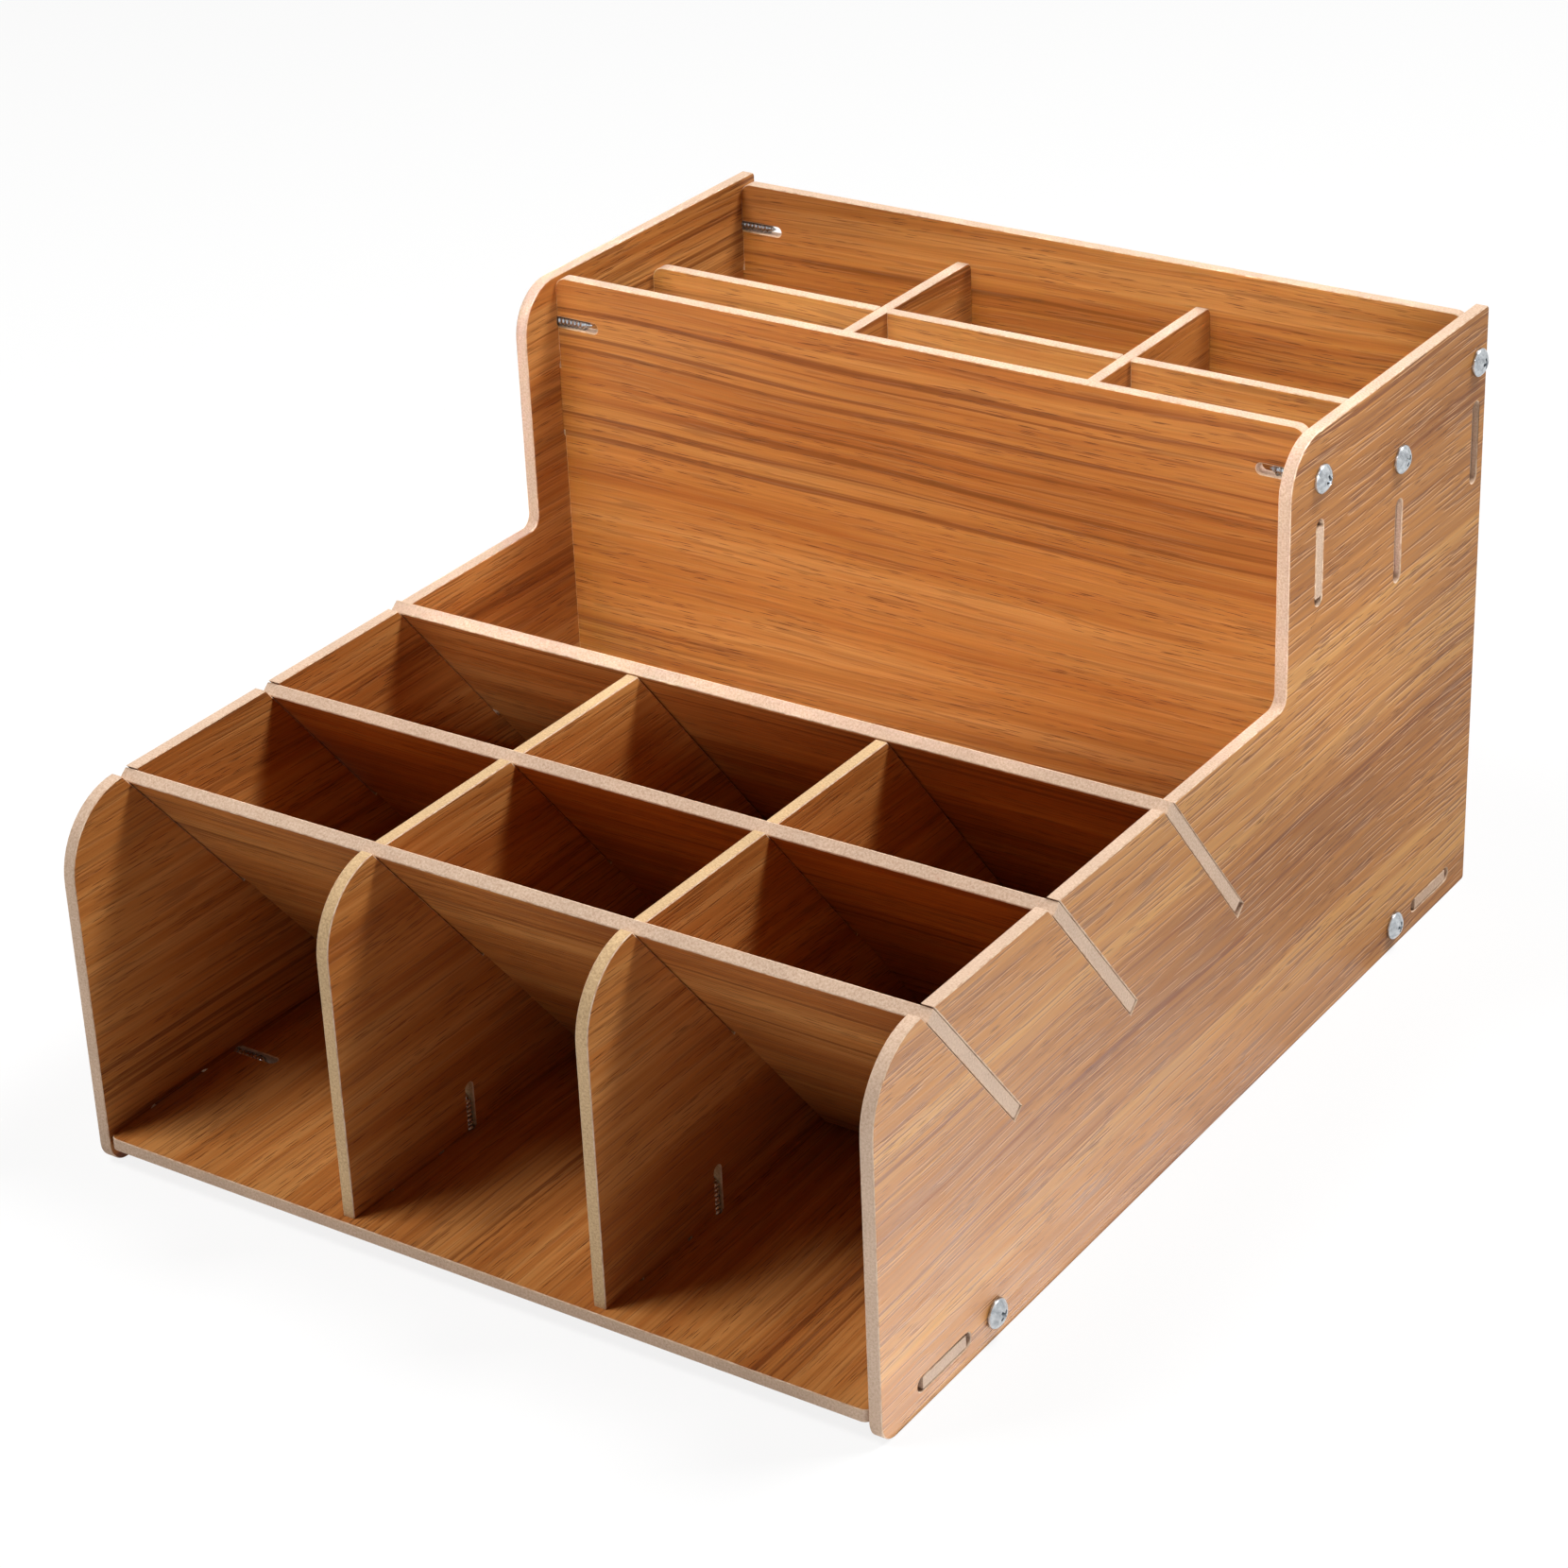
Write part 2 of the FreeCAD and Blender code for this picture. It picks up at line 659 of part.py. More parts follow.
os.makedirs("parts", exist_ok=True)
for part in parts:
    part.Shape.exportStep(f"parts/{part.Label}.step")
    box = part.Shape.BoundBox
    print(f"{part.Label}: {part.Shape.Volume:.1f} mm3,"
          f" x {box.XMin:.2f} to {box.XMax:.2f},"
          f" y {box.YMin:.2f} to {box.YMax:.2f},"
          f" z {box.ZMin:.2f} to {box.ZMax:.2f}")
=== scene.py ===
# %% [markdown]
# # A wooden desk organizer, board by board
# The organizer is a flat-pack of thin fibreboard with a printed wood foil on both faces. Its boards slot
# and lap into each other, and fourteen small screws hold the frame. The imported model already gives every
# board its exact outline, so this lesson spends its effort on what the eye sees: foil, raw edges, threads
# and light.

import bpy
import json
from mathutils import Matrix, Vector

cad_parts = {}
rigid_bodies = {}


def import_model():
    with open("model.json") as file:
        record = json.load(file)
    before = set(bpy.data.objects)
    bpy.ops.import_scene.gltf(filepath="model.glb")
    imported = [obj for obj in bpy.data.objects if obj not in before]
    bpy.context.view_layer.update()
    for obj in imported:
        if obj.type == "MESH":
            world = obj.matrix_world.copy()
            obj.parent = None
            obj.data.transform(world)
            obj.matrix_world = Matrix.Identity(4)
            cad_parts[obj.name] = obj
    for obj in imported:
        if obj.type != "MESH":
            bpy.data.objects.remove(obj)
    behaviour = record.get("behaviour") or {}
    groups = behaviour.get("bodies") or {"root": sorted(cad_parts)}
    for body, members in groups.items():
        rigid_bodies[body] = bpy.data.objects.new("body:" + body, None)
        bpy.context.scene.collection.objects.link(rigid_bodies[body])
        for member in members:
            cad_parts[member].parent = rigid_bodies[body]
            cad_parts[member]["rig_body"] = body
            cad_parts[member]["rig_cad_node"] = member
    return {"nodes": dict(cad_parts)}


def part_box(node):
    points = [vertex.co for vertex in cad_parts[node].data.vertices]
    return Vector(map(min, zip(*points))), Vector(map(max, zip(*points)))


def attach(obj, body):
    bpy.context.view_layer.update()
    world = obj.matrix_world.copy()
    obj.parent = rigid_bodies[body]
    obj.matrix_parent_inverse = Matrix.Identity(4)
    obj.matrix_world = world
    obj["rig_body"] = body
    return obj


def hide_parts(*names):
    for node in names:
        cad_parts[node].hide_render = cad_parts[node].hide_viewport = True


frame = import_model()
print("packed nodes:", len(frame["nodes"]))

# %% [markdown]
# ## Tools and sizes
# Everything here is in metres, and the sizes of such an object are read in millimetres, so one value
# turns one into the other. The outer face of the right side panel is a good landmark for lamps and
# screws, and it is read from the model instead of typed.

# %% Name the tools, and measure the imported model
import json
import math

import bmesh
import bpy
from mathutils import Vector

MM = 0.001
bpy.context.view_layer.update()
panel_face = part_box("right_side_panel")[1].x

# %% [markdown]
# ## The camera
# The picture is taken from the front right, a little above the tall box, with a long lens. A camera could
# be placed by eye, but then no edge would lie where it should. Its place and turn were found by fitting
# the corners of the panels in the photograph, so they are plain numbers here. The lens is the fitted
# focal length of 4235.5 pixels in a frame of 1660, on a sensor of 36 mm.

# %% Set up the camera
FRAME_PIXELS = 1660
FOCAL_PIXELS = 4235.5
SENSOR_WIDTH = 36  # millimetres
CAMERA_PLACE = (0.4419, -0.6484, 0.4678)
CAMERA_TURN = (62.47, 2.185, 33.505)  # degrees

bpy.ops.object.select_all(action="DESELECT")
bpy.ops.object.camera_add(location=CAMERA_PLACE, rotation=[math.radians(angle) for angle in CAMERA_TURN])
camera = bpy.context.active_object
camera.name = "photo_camera"
camera.data.sensor_width = SENSOR_WIDTH
camera.data.lens = SENSOR_WIDTH * FOCAL_PIXELS / FRAME_PIXELS
bpy.context.scene.camera = camera
bpy.context.scene.view_settings.view_transform = "Standard"
print("lens in mm:", round(camera.data.lens, 2))

# %% [markdown]
# ## Helpers for materials
# Colours are written as the hex values that a paint chip would show. Blender mixes light in linear
# numbers, so one function turns hex into linear. A second one adds a node, fills its sockets and links
# them, which keeps every material below readable from top to bottom. A third starts an empty material. A
# socket is given by its name, or by its number where a node has several of one name: 0 to 2 are the
# values of a Math node, 1 to 4 are the old and the new ends of a Map Range, and 6 and 7 are the two
# colours of a Mix.

# %% Turn hex into linear, and add nodes
def linear(hex_colour):
    """The linear RGBA of an sRGB colour such as #C8874E."""
    levels = [int(hex_colour[i:i + 2], 16) / 255 for i in (1, 3, 5)]
    return [v / 12.92 if v <= 0.04045 else ((v + 0.055) / 1.055) ** 2.4 for v in levels] + [1]


def add_node(tree, kind, inputs=None, stops=None, **settings):
    """Adds a node, sets its settings and colour stops, and fills or links its input sockets."""
    node = tree.nodes.new("ShaderNode" + kind)
    for name, value in settings.items():
        setattr(node, name, value)
    for socket, value in (inputs or {}).items():
        if isinstance(value, bpy.types.NodeSocket):
            tree.links.new(value, node.inputs[socket])
        else:
            node.inputs[socket].default_value = value
    for number, (place, colour) in enumerate(stops or []):
        marks = node.color_ramp.elements
        mark = marks[number] if number < 2 else marks.new(place)
        mark.position, mark.color = place, linear(colour)
    return node


def new_material(name):
    """A material with an empty node tree, and the output node that its shader goes to."""
    material = bpy.data.materials.new(name)
    material.use_nodes = True
    material.node_tree.nodes.clear()
    return material, material.node_tree, material.node_tree.nodes.new("ShaderNodeOutputMaterial")


print("#C8874E is", [round(v, 3) for v in linear("#C8874E")[:3]])

# %% [markdown]
# ## A pale floor
# The organizer stands on a white table. A bright lamp could burn the table to white, but it would burn
# the pale board edges too. So the floor is a plain diffuse white that keeps the soft shadow under the
# boards, and rays from the camera, and reflections in the metal, see most of it as paper white through
# the Light Path node.

# %% Lay the floor
TABLE_SIZE, TABLE_CUTS = 8, 3
PAPER_SHARE = 0.86


def seen_directly(tree):
    """1 for rays from the camera and for mirrored or refracted ones, 0 for rays that only carry light."""
    rays = add_node(tree, "LightPath")
    mirrored = add_node(
        tree, "Math", {0: rays.outputs["Is Camera Ray"], 1: rays.outputs["Is Glossy Ray"]},
        operation="MAXIMUM",
    )
    seen = add_node(
        tree, "Math", {0: mirrored.outputs[0], 1: rays.outputs["Is Transmission Ray"]}, operation="MAXIMUM",
    )
    return seen.outputs[0]


bpy.ops.object.select_all(action="DESELECT")
bpy.ops.mesh.primitive_plane_add(size=TABLE_SIZE)
floor = bpy.context.active_object
floor.name = "white_table"
bpy.ops.object.mode_set(mode="EDIT")
bpy.ops.mesh.subdivide(number_cuts=TABLE_CUTS)
bpy.ops.object.mode_set(mode="OBJECT")

table_paint, tree, output = new_material("white_table_paint")
paper_share = add_node(tree, "Math", {0: seen_directly(tree), 1: PAPER_SHARE}, operation="MULTIPLY")
paint = add_node(tree, "BsdfDiffuse", {"Color": linear("#F4F4F3")})
paper = add_node(tree, "Emission", {"Color": linear("#FFFFFF"), "Strength": 1.0})
mixed = add_node(tree, "MixShader", {0: paper_share.outputs[0], 1: paint.outputs[0], 2: paper.outputs[0]})
tree.links.new(mixed.outputs[0], output.inputs["Surface"])
floor.data.materials.append(table_paint)
print("floor faces:", len(floor.data.polygons))

# %% [markdown]
# ## A white room
# Behind the table lies an even white room. The world does what the floor does: it looks white to the
# camera and in the metal, but it hardly lights the boards, because the pockets of the organizer are
# almost black.

# %% Light the room
AMBIENT = 0.012

world = bpy.data.worlds.new("white_room")
bpy.context.scene.world = world
world.use_nodes = True
tree = world.node_tree
tree.nodes.clear()
strength = add_node(
    tree, "Math", {0: seen_directly(tree), 1: 1 - AMBIENT, 2: AMBIENT}, operation="MULTIPLY_ADD",
)
room = add_node(tree, "Background", {"Color": linear("#FFFFFF"), "Strength": strength.outputs[0]})
add_node(tree, "OutputWorld", {"Surface": room.outputs[0]})
print(world.name, "lights the boards with a strength of", AMBIENT)

# %% [markdown]
# ## Soft studio lamps
# The shadows of the leaning boards on the long dividers show where the main light hangs: high up, behind
# and to the right. It makes the sawn top edges the brightest lines of the picture, lights the outer face
# of the right panel, and leaves the pockets dark. A weaker softbox at the front left fills in the fronts.

# %% Hang the softboxes
SOFTBOXES = [
    ("main_softbox", (0.495, 0.495, 1.272), 0.45, 19.5),
    ("front_fill_softbox", (-0.495, -0.495, 1.272), 0.5, 14.0),
]
SOFTBOX_AIM = (0, 0, 0.06)


def turn_towards(place, target):
    """The turn that makes a lamp at a place shine on a target."""
    return (Vector(target) - Vector(place)).to_track_quat("-Z", "Y").to_euler()


for name, place, size, power in SOFTBOXES:
    bpy.ops.object.select_all(action="DESELECT")
    bpy.ops.object.light_add(type="AREA", location=place)
    lamp = bpy.context.active_object
    lamp.name = name
    lamp.data.size = size
    lamp.data.energy = power
    lamp.rotation_euler = turn_towards(place, SOFTBOX_AIM)
    print(name, "at", place, "with", power, "W")

# %% [markdown]
# ### A strip light for the tall wall
# The wide wall of the rear box is the brightest large face, yet the pockets just below it are almost
# black. A strip light with a narrow grid does that: its beam is as tall as the wall, comes over the
# pockets and stays out of them. An area lamp with a small spread angle is such a light.

# %% Aim the strip light
STRIP_PLACE = (0.281, -0.726, 0.597)
STRIP_SIZE = (0.22, 0.126)
STRIP_SPREAD = math.radians(2)
STRIP_POWER = 0.075
WALL_MIDDLE = (0, 0.047, 0.122)

bpy.ops.object.select_all(action="DESELECT")
bpy.ops.object.light_add(type="AREA", location=STRIP_PLACE)
strip = bpy.context.active_object
strip.name = "wall_strip_light"
strip.data.shape = "RECTANGLE"
strip.data.size, strip.data.size_y = STRIP_SIZE
strip.data.spread = STRIP_SPREAD
strip.data.energy = STRIP_POWER
strip.visible_camera = False
strip.rotation_euler = turn_towards(STRIP_PLACE, WALL_MIDDLE)
print(strip.name, "with a spread of", round(math.degrees(strip.data.spread), 1), "degrees")

# %% [markdown]
# ### Bright cards for the satin foil
# The right panel is seen at a flat angle, and its satin foil mirrors the table beside it. Near the front
# the table is brightest, which lays a milky haze over the lower front of the panel. Glowing cards that
# lie on the table and show only in reflections give that haze without adding any light to the boards.
# Each is a little longer than the one before, so that the haze fades out gently. The cards shine only on
# a collection that the boards join below, because the bright screws would mirror them as white spots.

# %% Lay the cards on the table
CARD_FRONT, CARD_WIDTH = -0.475, 0.48
CARD_BACKS = [-0.10, -0.06, -0.03, 0.0, 0.04, 0.08]
CARD_GLOW = 3.4  # watts for each square metre of card
CARD_GAP = 0.15 * MM  # the cards lie one over the other, a hair apart
PANEL_GAP = 0.2 * MM

foiled_boards = bpy.data.collections.new("foiled_boards")
for number, back in enumerate(CARD_BACKS):
    length = back - CARD_FRONT
    height = CARD_GAP * (len(CARD_BACKS) - number)
    middle = (panel_face + PANEL_GAP + CARD_WIDTH / 2, CARD_FRONT + length / 2, height)
    bpy.ops.object.select_all(action="DESELECT")
    bpy.ops.object.light_add(type="AREA", location=middle, rotation=(math.pi, 0, 0))
    card = bpy.context.active_object
    card.name = f"table_card_{number + 1}"
    card.data.shape = "RECTANGLE"
    card.data.size, card.data.size_y = CARD_WIDTH, length
    card.data.energy = CARD_GLOW * CARD_WIDTH * length
    card.light_linking.receiver_collection = foiled_boards
    card.visible_camera = False
    card.visible_diffuse = False
    print(card.name, "covers", CARD_WIDTH, "by", round(length, 3), "m")

# %% [markdown]
# ## Material: cherry-print foil
# The faces are not wood. They carry a paper foil printed like cherry, with grooves and pores pressed into
# it. The eye gets soft warm streaks along the grain, clusters of long dark veins, a fine thread of
# fibres, and thin pressed lines that catch the light. The pattern is drawn in millimetres on a flat
# sheet, and each board's UV map says which part of the sheet the board was cut from, as in the factory.
# Noise that is stretched along the grain gives all of it.

# %% Start the sheet, with a grain that wanders
# The grain wanders sideways by a few millimetres over a hand's length.
WANDER_LENGTH, WANDER_WIDTH, WANDER_SHIFT = 230 * MM, 70 * MM, 9 * MM

foil, tree, output = new_material("cherry_print_foil")
sheet = add_node(tree, "UVMap", uv_map="print_sheet")
wide = add_node(
    tree, "Mapping", {"Vector": sheet.outputs[0], "Scale": (1 / WANDER_LENGTH, 1 / WANDER_WIDTH, 1)},
)
wander = add_node(
    tree, "TexNoise", {"Vector": wide.outputs[0], "Scale": 1, "Detail": 2}, noise_dimensions="2D",
)
shift = add_node(
    tree, "Math", {0: wander.outputs[0], 1: WANDER_SHIFT, 2: -WANDER_SHIFT / 2}, operation="MULTIPLY_ADD",
)
sideways = add_node(tree, "CombineXYZ", {"Y": shift.outputs[0]})
grain = add_node(tree, "VectorMath", {0: sheet.outputs[0], 1: sideways.outputs[0]}, operation="ADD")
print(foil.name, "has a grain that wanders by", WANDER_SHIFT / MM, "mm")

# %% [markdown]
# ### Bands and streaks
# Cherry shows broad bands where the log was cut through its growth rings, and narrow streaks inside them.
# One noise could carry both, but two with half a share each let their widths be set apart. The roll of
# foil for the outside of the panels is a little yellower than the roll for the inner faces, so an
# attribute of the faces mixes two colour ramps.

# %% Print the bands and streaks
BAND_LENGTH, BAND_WIDTH = 330 * MM, 20 * MM
STREAK_LENGTH, STREAK_WIDTH = 170 * MM, 3.2 * MM
STREAK_START = (1.9, 6.2, 0)
HALF_SHARE = 0.5

place = add_node(
    tree, "Mapping", {"Vector": grain.outputs[0], "Scale": (1 / BAND_LENGTH, 1 / BAND_WIDTH, 1)},
)
bands = add_node(
    tree, "TexNoise", {"Vector": place.outputs[0], "Scale": 1, "Detail": 2}, noise_dimensions="2D",
)
place = add_node(
    tree, "Mapping",
    {
        "Vector": grain.outputs[0],
        "Location": STREAK_START,
        "Scale": (1 / STREAK_LENGTH, 1 / STREAK_WIDTH, 1),
    },
)
streaks = add_node(
    tree, "TexNoise", {"Vector": place.outputs[0], "Scale": 1, "Detail": 3, "Roughness": 0.6},
    noise_dimensions="2D",
)
band_part = add_node(tree, "Math", {0: bands.outputs[0], 1: HALF_SHARE}, operation="MULTIPLY")
mixed_tone = add_node(
    tree, "Math", {0: streaks.outputs[0], 1: HALF_SHARE, 2: band_part.outputs[0]}, operation="MULTIPLY_ADD",
)
inner_print = add_node(
    tree, "ValToRGB", {0: mixed_tone.outputs[0]},
    stops=[(0.37, "#A7622A"), (0.63, "#CB8C4C"), (0.5, "#BB7739")],
)
outer_print = add_node(
    tree, "ValToRGB", {0: mixed_tone.outputs[0]},
    stops=[(0.37, "#A2682F"), (0.63, "#CC9452"), (0.5, "#BA7D3E")],
)
roll = add_node(tree, "Attribute", attribute_name="outer_roll")
banded = add_node(
    tree, "Mix", {0: roll.outputs["Fac"], 6: inner_print.outputs[0], 7: outer_print.outputs[0]},
    data_type="RGBA",
)
print("bands of", BAND_WIDTH / MM, "mm and streaks of", STREAK_WIDTH / MM, "mm")

# %% [markdown]
# ### Dark veins
# The print has dark brown lines that are about a millimetre wide and run on for a hand's length. They
# gather in zones where the print is browner. Noise that is cut off at a level gives the lines, and a much
# broader noise says where they may show.

# %% Print the dark veins
VEIN_LENGTH, VEIN_WIDTH = 260 * MM, 1.9 * MM
ZONE_LENGTH, ZONE_WIDTH = 420 * MM, 24 * MM
ZONE_START = (3.7, 8.1, 0)

place = add_node(
    tree, "Mapping", {"Vector": grain.outputs[0], "Scale": (1 / VEIN_LENGTH, 1 / VEIN_WIDTH, 1)},
)
veins = add_node(
    tree, "TexNoise", {"Vector": place.outputs[0], "Scale": 1, "Detail": 3, "Roughness": 0.55},
    noise_dimensions="2D",
)
lines = add_node(
    tree, "MapRange", {0: veins.outputs[0], 1: 0.50, 2: 0.68, 3: 0.16, 4: 1},
    interpolation_type="SMOOTHSTEP",
)
place = add_node(
    tree, "Mapping",
    {"Vector": grain.outputs[0], "Location": ZONE_START, "Scale": (1 / ZONE_LENGTH, 1 / ZONE_WIDTH, 1)},
)
zones = add_node(
    tree, "TexNoise", {"Vector": place.outputs[0], "Scale": 1, "Detail": 1}, noise_dimensions="2D",
)
zone_share = add_node(
    tree, "MapRange", {0: zones.outputs[0], 1: 0.47, 2: 0.63, 3: 0.08, 4: 0.76},
    interpolation_type="SMOOTHSTEP",
)
vein_share = add_node(tree, "Math", {0: lines.outputs[0], 1: zone_share.outputs[0]}, operation="MULTIPLY")
veined = add_node(
    tree, "Mix", {0: vein_share.outputs[0], 6: banded.outputs[2], 7: linear("#713814")}, data_type="RGBA",
)
print("veins in zones of", ZONE_WIDTH / MM, "mm")

# %% [markdown]
# ### Fibres
# Between the veins the print is never quite even: a fine thread of fibres, half a millimetre apart,
# changes the tone by up to a tenth. It is a factor on the colour, so that the hue stays.

# %% Print the fibres
FIBRE_LENGTH, FIBRE_WIDTH = 30 * MM, 0.5 * MM

place = add_node(
    tree, "Mapping", {"Vector": grain.outputs[0], "Scale": (1 / FIBRE_LENGTH, 1 / FIBRE_WIDTH, 1)},
)
fibres = add_node(
    tree, "TexNoise", {"Vector": place.outputs[0], "Scale": 1, "Detail": 2}, noise_dimensions="2D",
)
tone = add_node(tree, "MapRange", {0: fibres.outputs[0], 1: 0.3, 2: 0.7, 3: 0.90, 4: 1.08})
fibred = add_node(tree, "VectorMath", {0: veined.outputs[2], 3: tone.outputs[0]}, operation="SCALE")
print("fibres of", FIBRE_WIDTH / MM, "mm")

# %% [markdown]
# ### Grooves
# A heated roller presses fine lines into the foil, about 15 mm long and 0.3 mm wide. The light leaves each
# groove in shade and catches a pale lip on its lower side, most on the outside of the panels. Bump alone
# would leave them faint at this distance, so both are painted into the colour too: painted shade in the
# groove and a painted highlight on the lip. The lip is the same noise as the groove, moved by a small step
# across the grain.

# %% Press in the grooves
GROOVE_LENGTH, GROOVE_SPACING, LIP_HIGHLIGHT_STEP = 24 * MM, 0.72 * MM, 0.30 * MM
GROOVE_START = (7.1, 2.3)

pressed_lines = []
for step in (0, LIP_HIGHLIGHT_STEP):
    place = add_node(
        tree, "Mapping",
        {
            "Vector": grain.outputs[0],
            "Location": (GROOVE_START[0], GROOVE_START[1] + step / GROOVE_SPACING, 0),
            "Scale": (1 / GROOVE_LENGTH, 1 / GROOVE_SPACING, 1),
        },
    )
    ripples = add_node(
        tree, "TexNoise", {"Vector": place.outputs[0], "Scale": 1, "Detail": 1}, noise_dimensions="2D",
    )
    pressed_lines.append(add_node(
        tree, "MapRange", {0: ripples.outputs[0], 1: 0.59, 2: 0.67}, interpolation_type="SMOOTHSTEP",
    ))
groove, lip = pressed_lines
# Painted highlight: the lip is coloured pale where light would catch it, much stronger on the outer faces
# of the side panels.
lip_highlight_strength = add_node(tree, "Math", {0: roll.outputs["Fac"], 1: 0.46, 2: 0.06}, operation="MULTIPLY_ADD")
lip_highlight_share = add_node(tree, "Math", {0: lip.outputs[0], 1: lip_highlight_strength.outputs[0]}, operation="MULTIPLY")
lip_highlighted = add_node(
    tree, "Mix", {0: lip_highlight_share.outputs[0], 6: fibred.outputs[0], 7: linear("#E2B284")}, data_type="RGBA",
)
# Painted shade: the groove is coloured dark where it would lie in shade, also stronger on the outer faces.
groove_shade_strength = add_node(tree, "Math", {0: roll.outputs["Fac"], 1: 0.28, 2: 0.36}, operation="MULTIPLY_ADD")
groove_shade_share = add_node(
    tree, "Math", {0: groove.outputs[0], 1: groove_shade_strength.outputs[0]}, operation="MULTIPLY",
)
groove_shaded = add_node(
    tree, "Mix", {0: groove_shade_share.outputs[0], 6: lip_highlighted.outputs[2], 7: linear("#74401A")}, data_type="RGBA",
)
print("grooves", GROOVE_SPACING / MM, "mm apart")

# %% [markdown]
# ### Pores
# Real pores are dashes of about 4 mm by 0.2 mm. They are drawn 0.3 mm wide so that they show, and they
# come in flocks. Voronoi cells that are stretched along the grain have one centre each, and a small disc
# round the centre becomes a dash. Two layers of different size keep the dashes from standing in rows.

# %% Press in the pores
# Length and width of a cell, and where its layer starts.
PORE_LAYERS = [(24 * MM, 1.0 * MM, 0), (17 * MM, 0.85 * MM, 4.3)]
FLOCK_LENGTH, FLOCK_WIDTH = 50 * MM, 7 * MM
FLOCK_START = (5.3, 2.9, 0)
PORE_DARKNESS = 0.75

layers = []
for length, width, start in PORE_LAYERS:
    place = add_node(
        tree, "Mapping",
        {"Vector": grain.outputs[0], "Location": (start, start, 0), "Scale": (1 / length, 1 / width, 1)},
    )
    cells = add_node(tree, "TexVoronoi", {"Vector": place.outputs[0], "Scale": 1}, voronoi_dimensions="2D")
    layers.append(add_node(
        tree, "MapRange", {0: cells.outputs["Distance"], 1: 0.06, 2: 0.13, 3: 1, 4: 0},
        interpolation_type="SMOOTHSTEP",
    ))
dashes = add_node(tree, "Math", {0: layers[0].outputs[0], 1: layers[1].outputs[0]}, operation="MAXIMUM")
place = add_node(
    tree, "Mapping",
    {"Vector": grain.outputs[0], "Location": FLOCK_START, "Scale": (1 / FLOCK_LENGTH, 1 / FLOCK_WIDTH, 1)},
)
flocks = add_node(
    tree, "TexNoise", {"Vector": place.outputs[0], "Scale": 1, "Detail": 2}, noise_dimensions="2D",
)
flock_share = add_node(
    tree, "MapRange", {0: flocks.outputs[0], 1: 0.42, 2: 0.56}, interpolation_type="SMOOTHSTEP",
)
pores = add_node(tree, "Math", {0: dashes.outputs[0], 1: flock_share.outputs[0]}, operation="MULTIPLY")
pore_share = add_node(tree, "Math", {0: pores.outputs[0], 1: PORE_DARKNESS}, operation="MULTIPLY")
printed = add_node(
    tree, "Mix", {0: pore_share.outputs[0], 6: groove_shaded.outputs[2], 7: linear("#5A2B0F")}, data_type="RGBA",
)
print(len(layers), "layers of pores in flocks of", FLOCK_WIDTH / MM, "mm")

# %% [markdown]
# ### Lacquer
# A satin lacquer closes the foil. Grooves and pores are pressed in by a few hundredths of a millimetre,
# and the lacquer is duller on the fibres, so roughness and bump come from the same patterns as the
# colour.

# %% Lacquer the foil
PRESS_DEPTH = 0.06 * MM

deepest = add_node(tree, "Math", {0: groove.outputs[0], 1: pores.outputs[0]}, operation="MAXIMUM")
depth = add_node(
    tree, "Math", {0: deepest.outputs[0], 1: -1.0, 2: fibres.outputs[0]}, operation="MULTIPLY_ADD",
)
pressed = add_node(tree, "Bump", {"Height": depth.outputs[0], "Strength": 0.7, "Distance": PRESS_DEPTH})
gloss = add_node(tree, "MapRange", {0: fibres.outputs[0], 1: 0.3, 2: 0.7, 3: 0.44, 4: 0.56})
lacquer = add_node(
    tree, "BsdfPrincipled",
    {
        "Base Color": printed.outputs[2],
        "Roughness": gloss.outputs[0],
        "Normal": pressed.outputs[0],
        "IOR": 1.28,
    },
)
tree.links.new(lacquer.outputs[0], output.inputs["Surface"])
print(foil.name, "has", len(tree.nodes), "nodes")

# %% [markdown]
# ## Material: raw fibreboard
# Where a board is cut, the bare fibreboard shows: pressed wood dust, pale tan and dull, with tiny darker
# and lighter specks. Real fibres are about 0.1 mm, too fine for the picture, so the specks are drawn at
# 0.5 mm. The long dividers come from a yellower batch, so an attribute mixes two ramps here too.

# %% Mix the fibreboard
SPECK_SIZE, CLOUD_SIZE, GRIT_DEPTH = 0.5 * MM, 12 * MM, 0.08 * MM

fibreboard, tree, output = new_material("raw_fibreboard")
place = add_node(tree, "TexCoord")
specks = add_node(
    tree, "TexNoise",
    {"Vector": place.outputs["Object"], "Scale": 1 / SPECK_SIZE, "Detail": 3, "Roughness": 0.7},
)
clouds = add_node(
    tree, "TexNoise", {"Vector": place.outputs["Object"], "Scale": 1 / CLOUD_SIZE, "Detail": 2},
)
dust = add_node(
    tree, "ValToRGB", {0: specks.outputs[0]},
    stops=[(0.30, "#B4937A"), (0.72, "#D9BFA8"), (0.5, "#C9AB92")],
)
yellow_dust = add_node(
    tree, "ValToRGB", {0: specks.outputs[0]},
    stops=[(0.30, "#A9895F"), (0.72, "#D6B88C"), (0.5, "#C3A278")],
)
batch = add_node(tree, "Attribute", attribute_name="yellow_core")
core_dust = add_node(
    tree, "Mix", {0: batch.outputs["Fac"], 6: dust.outputs[0], 7: yellow_dust.outputs[0]}, data_type="RGBA",
)
cloud_tone = add_node(tree, "MapRange", {0: clouds.outputs[0], 1: 0.3, 2: 0.7, 3: 0.93, 4: 1.05})
toned = add_node(tree, "VectorMath", {0: core_dust.outputs[2], 3: cloud_tone.outputs[0]}, operation="SCALE")
grit = add_node(tree, "Bump", {"Height": specks.outputs[0], "Strength": 0.35, "Distance": GRIT_DEPTH})
core = add_node(
    tree, "BsdfPrincipled", {"Base Color": toned.outputs[0], "Roughness": 0.85, "Normal": grit.outputs[0]},
)
tree.links.new(core.outputs[0], output.inputs["Surface"])
print(fibreboard.name, "has", len(tree.nodes), "nodes")

